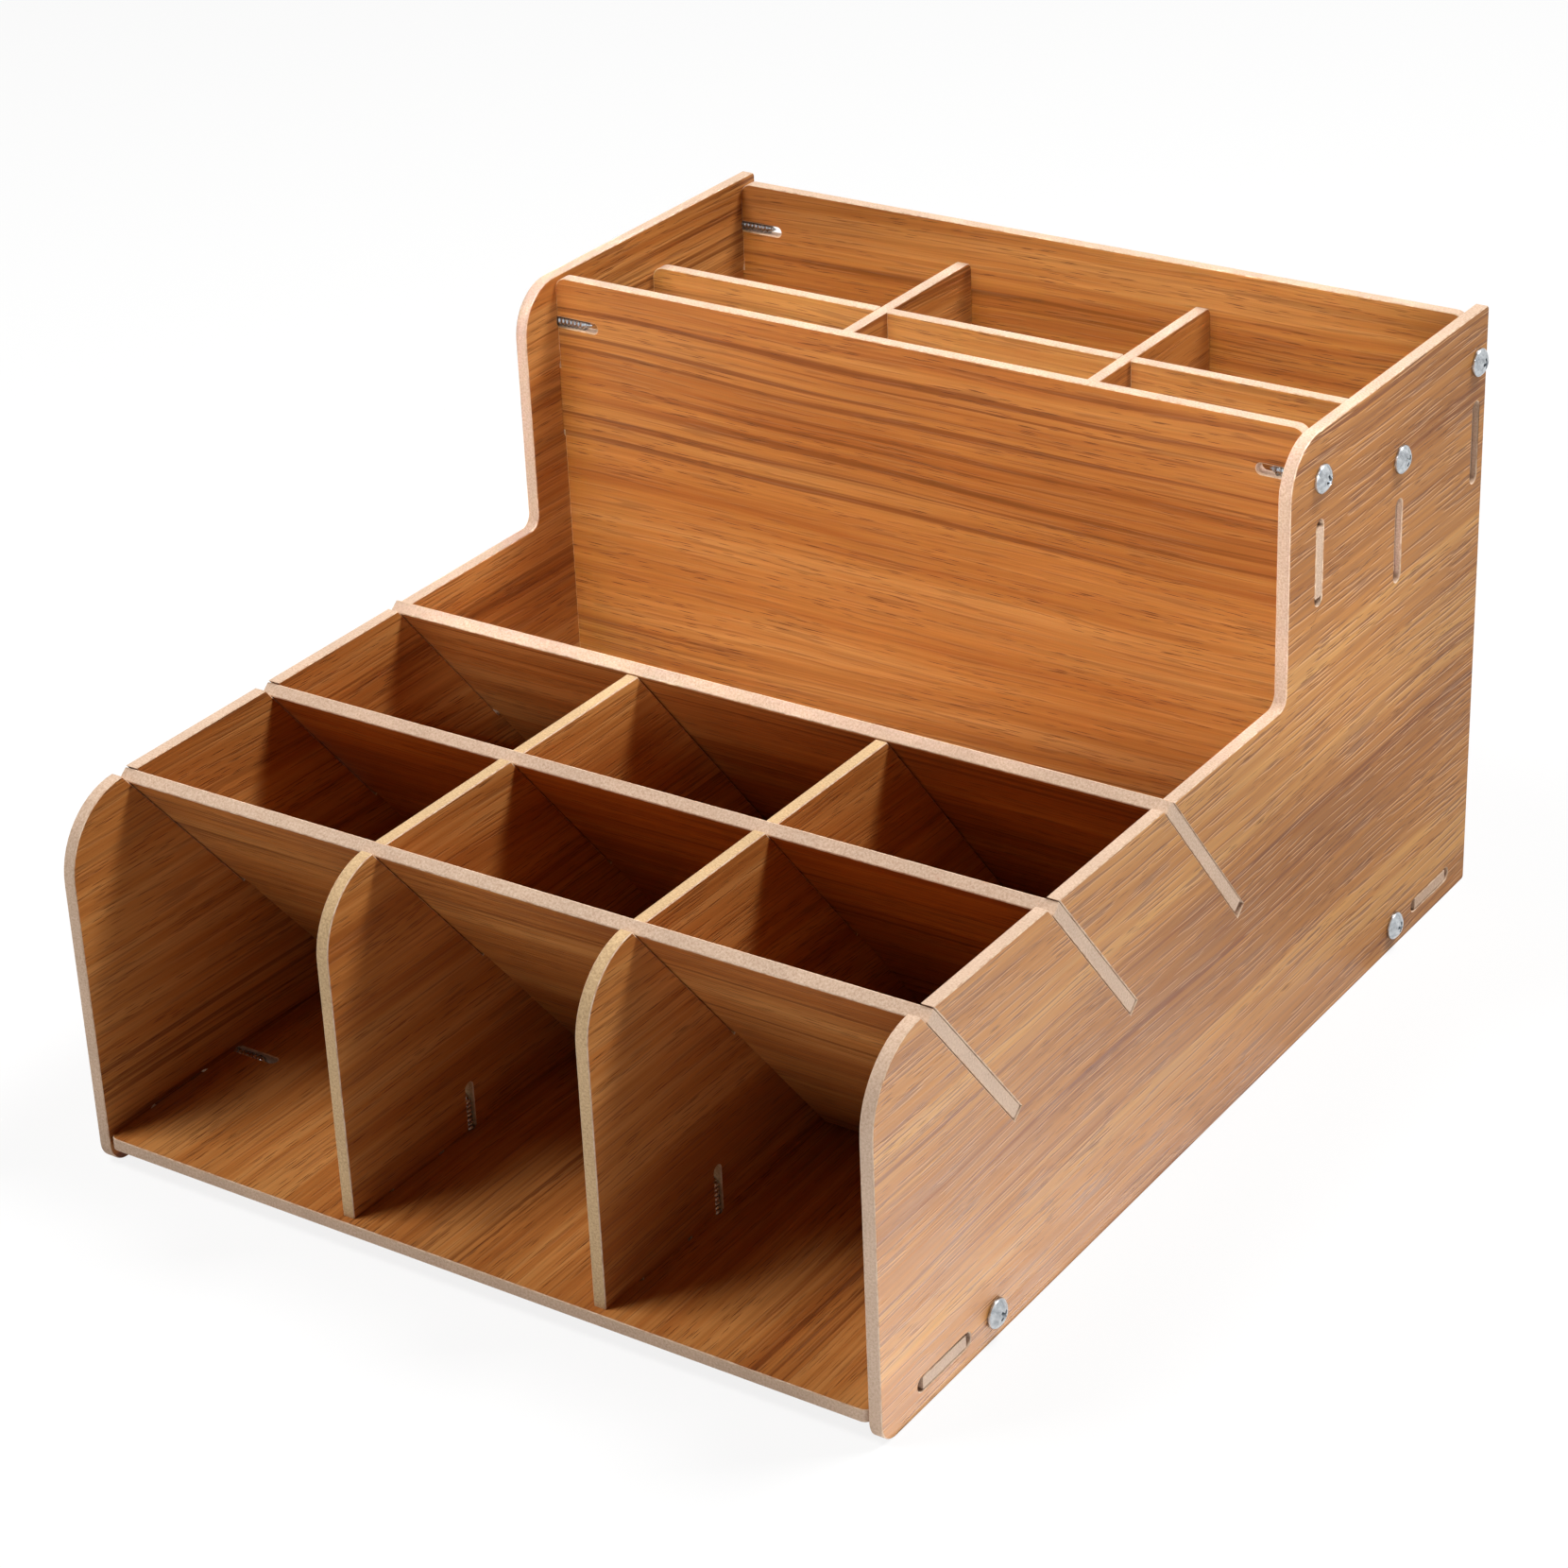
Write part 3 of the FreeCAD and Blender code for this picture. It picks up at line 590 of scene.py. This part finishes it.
# %% [markdown]
# ## Material: cut edge of the foil
# The saw leaves a thin pale line where the foil's paper ends, along both rims of every edge. It is a
# narrow chamfer in the mesh, so this material only has to be paler than the core, with a little
# unevenness along its length.

# %% Mix the paper edge
FRAY_SIZE = 1.5 * MM

paper_edge, tree, output = new_material("foil_paper_edge")
place = add_node(tree, "TexCoord")
frays = add_node(tree, "TexNoise", {"Vector": place.outputs["Object"], "Scale": 1 / FRAY_SIZE, "Detail": 2})
paper_tone = add_node(tree, "ValToRGB", {0: frays.outputs[0]}, stops=[(0.32, "#BC9576"), (0.62, "#DCC1A5")])
paper_rough = add_node(tree, "MapRange", {0: frays.outputs[0], 3: 0.6, 4: 0.85})
rim = add_node(
    tree, "BsdfPrincipled", {"Base Color": paper_tone.outputs[0], "Roughness": paper_rough.outputs[0]},
)
tree.links.new(rim.outputs[0], output.inputs["Surface"])
print(paper_edge.name, "has", len(tree.nodes), "nodes")

# %% [markdown]
# ## Material: bright zinc plating
# The screws are steel with a thin bright coat of zinc. It reflects the white room clearly, with a faint
# cloudiness from the plating bath and tumbling marks that are drawn at 0.3 mm so that they show at all.

# %% Plate the screws
BATH_SIZE, MARK_SIZE, MARK_DEPTH = 1.2 * MM, 0.3 * MM, 0.02 * MM

zinc, tree, output = new_material("bright_zinc_plating")
place = add_node(tree, "TexCoord")
bath = add_node(tree, "TexNoise", {"Vector": place.outputs["Object"], "Scale": 1 / BATH_SIZE, "Detail": 2})
marks = add_node(tree, "TexNoise", {"Vector": place.outputs["Object"], "Scale": 1 / MARK_SIZE, "Detail": 2})
plate_tone = add_node(tree, "ValToRGB", {0: bath.outputs[0]}, stops=[(0.3, "#A0A4A8"), (0.7, "#CCD0D3")])
plate_rough = add_node(tree, "MapRange", {0: marks.outputs[0], 1: 0.3, 2: 0.7, 3: 0.16, 4: 0.28})
tumbled = add_node(tree, "Bump", {"Height": marks.outputs[0], "Strength": 0.15, "Distance": MARK_DEPTH})
plate = add_node(
    tree, "BsdfPrincipled",
    {
        "Base Color": plate_tone.outputs[0],
        "Metallic": 1.0,
        "Roughness": plate_rough.outputs[0],
        "Normal": tumbled.outputs[0],
    },
)
tree.links.new(plate.outputs[0], output.inputs["Surface"])
print(zinc.name, "has", len(tree.nodes), "nodes")

# %% [markdown]
# ## The boards
# Every board is a flat sheet with slots, tabs and rounded corners. Drawing the outlines again would only
# bring errors, so each board starts as a copy of its packed twin. The copy is loose triangles, so it is
# merged, and its flat faces are dissolved into clean polygons.

# %% Copy a board and clean it
FOIL, CORE, RIM = range(3)  # the material slots of every board
MERGE_DISTANCE = 0.001 * MM
FLAT_ANGLE = math.radians(0.5)


def select_only(thing):
    """Makes one object the only selected one and the active one, as a click on it does."""
    bpy.ops.object.select_all(action="DESELECT")
    thing.select_set(True)
    bpy.context.view_layer.objects.active = thing


def clean_copy(node):
    """A copy of a packed board as one connected mesh with flat faces in one piece."""
    select_only(frame["nodes"][node])
    bpy.ops.object.duplicate()
    board = bpy.context.active_object
    board.name = f"{node}_board"
    board.data.name = board.name
    board.parent = None
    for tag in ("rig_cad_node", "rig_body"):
        del board[tag]
    board.data.materials.clear()
    for material in (foil, fibreboard, paper_edge):
        board.data.materials.append(material)
    bpy.ops.mesh.customdata_custom_splitnormals_clear()
    bpy.ops.object.mode_set(mode="EDIT")
    bpy.ops.mesh.select_all(action="SELECT")
    bpy.ops.mesh.remove_doubles(threshold=MERGE_DISTANCE)
    bpy.ops.mesh.dissolve_limited(angle_limit=FLAT_ANGLE)
    bpy.ops.object.mode_set(mode="OBJECT")
    return board


print("points nearer than", MERGE_DISTANCE / MM, "mm become one")

# %% [markdown]
# ### A chamfer along the rims
# A sawn rim is never a perfect corner. The outlines of both faces get a chamfer of a fifth of a
# millimetre, which is the cut edge of the foil. The Bevel operator makes it, on the edges where a face
# meets the side of the board, and gives the new strips their own material slot.

# %% Chamfer the rims of its faces
RIM_WIDTH = 0.2 * MM
FACE_LEAN, SIDE_LEAN = 0.9, 0.1  # a face looks along the thickness, and a side across it


def chamfer_rims(board, facing):
    """Cuts a narrow chamfer along the outline of both faces. facing is the direction that they look in."""
    bpy.ops.object.mode_set(mode="EDIT")
    bpy.ops.mesh.select_mode(type="EDGE")
    bpy.ops.mesh.select_all(action="DESELECT")
    edit = bmesh.from_edit_mesh(board.data)
    for edge in edit.edges:
        leans = sorted(abs(face.normal.dot(facing)) for face in edge.link_faces)
        edge.select_set(len(leans) == 2 and leans[0] < SIDE_LEAN and leans[1] > FACE_LEAN)
    bmesh.update_edit_mesh(board.data)
    bpy.ops.mesh.bevel(offset=RIM_WIDTH, segments=1, affect="EDGES", clamp_overlap=False, material=RIM)
    bpy.ops.object.mode_set(mode="OBJECT")


print("rims are", RIM_WIDTH / MM, "mm wide")

# %% [markdown]
# ### Foil on the faces, fibreboard on the edges
# The direction of each polygon says what it is: faces that look along the thickness are foil, and the
# rest is the sawn edge. The UV map is laid out in metres, with U along the grain and V across it, so the
# print keeps its real scale on every board. The two faces of a board come from different places of the
# sheet. Two attributes mark the outside of the side panels and the boards of the yellower batch.

# %% Lay the foil
OUTSIDE = panel_face - 0.1 * MM  # the outer faces of the two side panels lie beyond this
YELLOW_BOARDS = "long_divider"  # part of the names of the boards from the yellower batch


def lay_foil(board, facing, grain_way, places):
    """Sets the material of each polygon, and maps both faces to their places on the printed sheet."""
    mesh = board.data
    across = facing.cross(grain_way)
    for layer in list(mesh.uv_layers):
        mesh.uv_layers.remove(layer)
    sheet_map = mesh.uv_layers.new(name="print_sheet")
    outer_roll = mesh.attributes.new("outer_roll", "FLOAT", "FACE")
    yellow_core = mesh.attributes.new("yellow_core", "FLOAT", "FACE")
    for face in mesh.polygons:
        lean = face.normal.dot(facing)
        if face.material_index != RIM:
            face.material_index = FOIL if abs(lean) > FACE_LEAN else CORE
        outer_roll.data[face.index].value = float(abs(face.center.x) > OUTSIDE)
        yellow_core.data[face.index].value = float(YELLOW_BOARDS in board.name)
        u, v = places[0] if lean > 0 else places[1]
        for corner in face.loop_indices:
            point = mesh.vertices[mesh.loops[corner].vertex_index].co
            sheet_map.uv[corner].vector = (point.dot(grain_way) + u, point.dot(across) + v)


print("faces beyond", round(OUTSIDE / MM, 1), "mm take the outer roll")

# %% [markdown]
# ### All thirteen boards
# With these three steps every board is made alike. A table says which body a board moves with, which way
# its faces look, which way its grain runs, and where on the sheet its two faces were cut. The places are
# far apart, so that no two boards show the same veins.

# %% Make all thirteen boards
X, Y, Z = Vector((1, 0, 0)), Vector((0, 1, 0)), Vector((0, 0, 1))
LEAN = math.radians(39)
SLOPE = Vector((0, math.cos(LEAN), math.sin(LEAN)))  # where the upper faces of the leaning partitions look
SMOOTH_BOARD = math.radians(30)
BOARDS = [
    ("left_side_panel", "frame", X, Y, ((0.30, 0.10), (0.30, 0.40))),
    ("right_side_panel", "frame", X, Y, ((1.115, 0.745), (1.10, 0.40))),
    ("base_panel", "frame", Z, Y, ((1.90, 0.10), (1.90, 0.50))),
    ("left_long_divider", "frame", X, Y, ((2.60, 0.10), (2.60, 0.40))),
    ("right_long_divider", "frame", X, Y, ((3.20, 0.10), (3.20, 0.40))),
    ("front_slanted_partition", "front_partition", SLOPE, X, ((0.30, 1.10), (0.30, 1.40))),
    ("middle_slanted_partition", "middle_partition", SLOPE, X, ((1.00, 1.10), (1.00, 1.40))),
    ("rear_slanted_partition", "rear_partition", SLOPE, X, ((1.70, 1.10), (1.70, 1.40))),
    ("rear_box_front_wall", "frame", Y, X, ((2.40, 1.10), (3.33, 1.55))),
    ("rear_box_middle_wall", "frame", Y, X, ((3.10, 1.10), (3.10, 1.50))),
    ("rear_box_back_wall", "frame", Y, X, ((3.80, 1.10), (3.80, 1.50))),
    ("left_cross_divider", "left_cell_divider", X, Y, ((0.30, 2.10), (0.30, 2.40))),
    ("right_cross_divider", "right_cell_divider", X, Y, ((1.00, 2.10), (1.00, 2.40))),
]

for node, body, facing, grain_way, places in BOARDS:
    board = clean_copy(node)
    chamfer_rims(board, facing)
    lay_foil(board, facing, grain_way, places)
    bpy.ops.object.shade_smooth_by_angle(angle=SMOOTH_BOARD)
    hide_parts(node)
    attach(board, body)
    foiled_boards.objects.link(board)
    print(board.name, len(board.data.polygons), "faces")

# %% [markdown]
# ## The screws
# Round-headed wood screws with a cross recess hold the frame. Their threads show in the open slots of the
# walls, the base and the dividers, so they are real geometry here. One screw is modelled upright with its
# seat at zero: a small disc is pulled up ring by ring, from the point over the core and the head to the
# crown.

# %% Pull up the core and the head
# Sizes of the screw are in millimetres.
CORE_RADIUS, THREAD_RADIUS, HEAD_RADIUS, TIP_RADIUS = 1.05, 1.45, 3.3, 0.12
HEAD_HEIGHT, HEAD_RIM = 2.15, 0.7
SCREW_LENGTH, POINT_LENGTH = 12.0, 2.0
HEAD_ROUND, SHOULDER_DROP, SHOULDER_ROUND = 0.12, 0.15, 0.08
CROWN_DEGREES = (42, 34, 26, 18, 9)
RING_SIDES = 40

rise = HEAD_HEIGHT - HEAD_RIM
crown_radius = (HEAD_RADIUS ** 2 + rise ** 2) / (2 * rise)
rings = [
    (TIP_RADIUS, -SCREW_LENGTH),
    (CORE_RADIUS, POINT_LENGTH - SCREW_LENGTH),
    (CORE_RADIUS, 0),
    (HEAD_RADIUS - HEAD_ROUND, 0),
    (HEAD_RADIUS, HEAD_ROUND),
    (HEAD_RADIUS, HEAD_RIM - SHOULDER_DROP),
    (HEAD_RADIUS - SHOULDER_ROUND, HEAD_RIM + SHOULDER_ROUND),
]
for degrees in CROWN_DEGREES:
    angle = math.radians(degrees)
    rings.append((crown_radius * math.sin(angle), HEAD_HEIGHT - crown_radius * (1 - math.cos(angle))))

bpy.ops.object.select_all(action="DESELECT")
bpy.ops.mesh.primitive_circle_add(
    vertices=RING_SIDES, radius=TIP_RADIUS * MM, fill_type="NGON", location=(0, 0, -SCREW_LENGTH * MM),
)
screw = bpy.context.active_object
screw.name = "screw_pattern"
bpy.ops.object.mode_set(mode="EDIT")
bpy.ops.mesh.select_all(action="SELECT")
for (radius, height), (next_radius, next_height) in zip(rings, rings[1:]):
    bpy.ops.mesh.extrude_region_move(TRANSFORM_OT_translate={"value": (0, 0, (next_height - height) * MM)})
    growth = next_radius / radius
    bpy.ops.transform.resize(value=(growth, growth, 1), center_override=(0, 0, next_height * MM))
bpy.ops.mesh.select_all(action="SELECT")
bpy.ops.mesh.normals_make_consistent(inside=False)
bpy.ops.object.mode_set(mode="OBJECT")
bpy.ops.object.transform_apply(location=True, rotation=True, scale=True)
print("screw body:", len(screw.data.polygons), "faces")

# %% [markdown]
# ### The thread
# A thread is one small wedge carried round the core while it climbs. The wedge starts as a plane whose
# outer edge is squeezed, only its outline is kept, and the Screw modifier sweeps it up the core. Stacked
# rings would be simpler, but a thread of rings does not climb, and it shows where the slots are open.

# %% Sweep the thread
PITCH, TURNS, TURN_STEPS = 1.1, 10, 24
THREAD_START, ROOT_RADIUS = -11.7, 0.9
# The wedge's height as a share of the pitch, and what is left of it at the crest.
WEDGE_SHARE, CREST_SHARE = 0.85, 0.15
HAIR = 0.01  # millimetres, the room for rounding when points are picked by their place

bpy.ops.object.select_all(action="DESELECT")
bpy.ops.mesh.primitive_plane_add(
    size=1,
    location=((ROOT_RADIUS + THREAD_RADIUS) / 2 * MM, 0, THREAD_START * MM),
    rotation=(math.radians(90), 0, 0),
)
thread = bpy.context.active_object
thread.name = "thread_pattern"
thread.scale = ((THREAD_RADIUS - ROOT_RADIUS) * MM, WEDGE_SHARE * PITCH * MM, 1)
bpy.ops.object.transform_apply(location=True, rotation=True, scale=True)
bpy.ops.object.mode_set(mode="EDIT")
bpy.ops.mesh.select_all(action="DESELECT")
edit = bmesh.from_edit_mesh(thread.data)
for vertex in edit.verts:
    vertex.select_set(vertex.co.x > (THREAD_RADIUS - HAIR) * MM)
bmesh.update_edit_mesh(thread.data)
bpy.ops.transform.resize(
    value=(1, 1, CREST_SHARE), center_override=(THREAD_RADIUS * MM, 0, THREAD_START * MM),
)
bpy.ops.mesh.select_all(action="SELECT")
bpy.ops.mesh.delete(type="ONLY_FACE")
bpy.ops.object.mode_set(mode="OBJECT")

sweep = thread.modifiers.new("sweep", "SCREW")
sweep.axis = "Z"
sweep.steps = sweep.render_steps = TURN_STEPS
sweep.screw_offset = PITCH * MM
sweep.iterations = TURNS
bpy.ops.object.modifier_apply(modifier=sweep.name)
print("thread:", len(thread.data.polygons), "faces")

# %% [markdown]
# ### The point
# On a wood screw the thread runs out along the point. The sweep leaves it at full width, with two open
# ends. The ends are filled first, and then the lowest turns are drawn in, slice by slice, about as far as
# the point's cone is drawn in at that height.

# %% Close the ends and draw in the point
POINT_SLICES = 16
SLICE_MARGIN = 1  # millimetres below the tip where the slices start
POINT_SHARE = 0.12  # the width that is left at the tip

bpy.ops.object.mode_set(mode="EDIT")
bpy.ops.mesh.select_mode(type="VERT")
bpy.ops.mesh.select_all(action="SELECT")
bpy.ops.mesh.remove_doubles(threshold=MERGE_DISTANCE)
bpy.ops.mesh.fill_holes(sides=4)
bpy.ops.mesh.select_all(action="SELECT")
bpy.ops.mesh.normals_make_consistent(inside=False)
lowest = -SCREW_LENGTH * MM - SLICE_MARGIN * MM
reach = (POINT_LENGTH + SLICE_MARGIN) * MM
heights = [lowest + reach * i / POINT_SLICES for i in range(POINT_SLICES + 1)]
for low, high in zip(heights, heights[1:]):
    bpy.ops.mesh.select_all(action="DESELECT")
    edit = bmesh.from_edit_mesh(thread.data)
    for vertex in edit.verts:
        vertex.select_set(low < vertex.co.z <= high)
    bmesh.update_edit_mesh(thread.data)
    share = max(POINT_SHARE, ((low + high) / 2 + SCREW_LENGTH * MM) / (POINT_LENGTH * MM))
    bpy.ops.transform.resize(value=(share, share, 1), center_override=(0, 0, 0))
bpy.ops.object.mode_set(mode="OBJECT")
print("point drawn in over", POINT_LENGTH, "mm")

# %% [markdown]
# ### One closed skin
# Thread and core pass through each other, and such a mesh has walls inside it. A Boolean union keeps only
# the outer skin. The Manifold solver is used because both are closed and it copes with their many thin
# faces.

# %% Join thread and core
def carve(body, other, operation):
    """Joins another closed mesh to a body, or cuts it away, and removes the other."""
    select_only(body)
    step = body.modifiers.new("carve", "BOOLEAN")
    step.operation = operation
    step.solver = "MANIFOLD"
    step.object = other
    bpy.ops.object.modifier_apply(modifier=step.name)
    bpy.data.objects.remove(other)


carve(screw, thread, "UNION")
print("threaded screw:", len(screw.data.polygons), "faces")

# %% [markdown]
# ### The cross recess
# A driver bit has four wings that narrow downwards. Two tapered bars, crossed at right angles, are sunk
# into the crown and cut away with a Boolean. The cuts leave a few faces without area, which are
# dissolved.

# %% Cut the recess
RECESS_SPAN, RECESS_WIDTH, RECESS_DEPTH = 3.4, 0.9, 1.2
BAR_HEIGHT, BAR_TAPER = 2, 0.5
SLIVER = 0.002 * MM
SMOOTH_SCREW = math.radians(35)

bars = []
for turn in (0, 90):
    bpy.ops.object.select_all(action="DESELECT")
    bpy.ops.mesh.primitive_cube_add(
        size=1, location=(0, 0, (HEAD_HEIGHT - RECESS_DEPTH + BAR_HEIGHT / 2) * MM),
    )
    bar = bpy.context.active_object
    bar.scale = (RECESS_SPAN * MM, RECESS_WIDTH * MM, BAR_HEIGHT * MM)
    bar.rotation_euler.z = math.radians(turn)
    bpy.ops.object.transform_apply(location=True, rotation=True, scale=True)
    bpy.ops.object.mode_set(mode="EDIT")
    bpy.ops.mesh.select_all(action="DESELECT")
    edit = bmesh.from_edit_mesh(bar.data)
    low = min(vertex.co.z for vertex in edit.verts)
    for vertex in edit.verts:
        vertex.select_set(vertex.co.z < low + HAIR * MM)
    bmesh.update_edit_mesh(bar.data)
    bpy.ops.transform.resize(value=(BAR_TAPER, BAR_TAPER, 1), center_override=(0, 0, low))
    bpy.ops.object.mode_set(mode="OBJECT")
    bars.append(bar)
for bar in bars:
    carve(screw, bar, "DIFFERENCE")
bpy.ops.object.mode_set(mode="EDIT")
bpy.ops.mesh.select_all(action="SELECT")
bpy.ops.mesh.dissolve_degenerate(threshold=SLIVER)
bpy.ops.object.mode_set(mode="OBJECT")
bpy.ops.object.shade_smooth_by_angle(angle=SMOOTH_SCREW)
screw.data.materials.clear()
screw.data.materials.append(zinc)
print("finished screw:", len(screw.data.polygons), "faces")

# %% [markdown]
# ### Where the screws go
# The side screws look out of the panels and the divider screws look down through the base. Each one
# stands on the seat of its packed twin, so the seats are read from the imported boxes, and each screw is
# turned to a recess angle of its own.

# %% Find the seats
SIDE_SCREWS = ["base_front", "base_rear", "front_wall", "middle_wall", "back_wall"]
UNDER_SCREWS = ["divider_front", "divider_rear"]
RECESS_TURN = 37  # degrees from one screw to the next

drives = []
for side, sign in (("left", -1), ("right", 1)):
    for number, name in enumerate(SIDE_SCREWS):
        node = f"{side}_{name}_screw"
        low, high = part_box(node)
        seat = (low + high) / 2
        seat.x = panel_face * sign
        drives.append((node, seat, (0, 90 * sign, RECESS_TURN * (number + sign))))
    for number, name in enumerate(UNDER_SCREWS):
        node = f"{side}_{name}_screw"
        low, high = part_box(node)
        seat = (low + high) / 2
        seat.z = low.z + HEAD_HEIGHT * MM
        drives.append((node, seat, (180, 0, RECESS_TURN * (number + 1))))
print(len(drives), "seats found")

# %% [markdown]
# ### Fourteen copies
# The finished screw is copied to every seat. Each copy has a mesh of its own, and its place and turn are
# applied to that mesh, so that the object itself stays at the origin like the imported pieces.

# %% Drive the screws in
for node, seat, turn in drives:
    select_only(screw)
    bpy.ops.object.duplicate()
    driven = bpy.context.active_object
    driven.name = f"{node}_threaded"
    driven.data.name = driven.name
    driven.rotation_mode = "ZYX"
    driven.rotation_euler = [math.radians(angle) for angle in turn]
    driven.location = seat
    bpy.ops.object.transform_apply(location=True, rotation=True, scale=True)
    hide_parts(node)
    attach(driven, "frame")
bpy.data.objects.remove(screw)
print(len(drives), "screws driven")
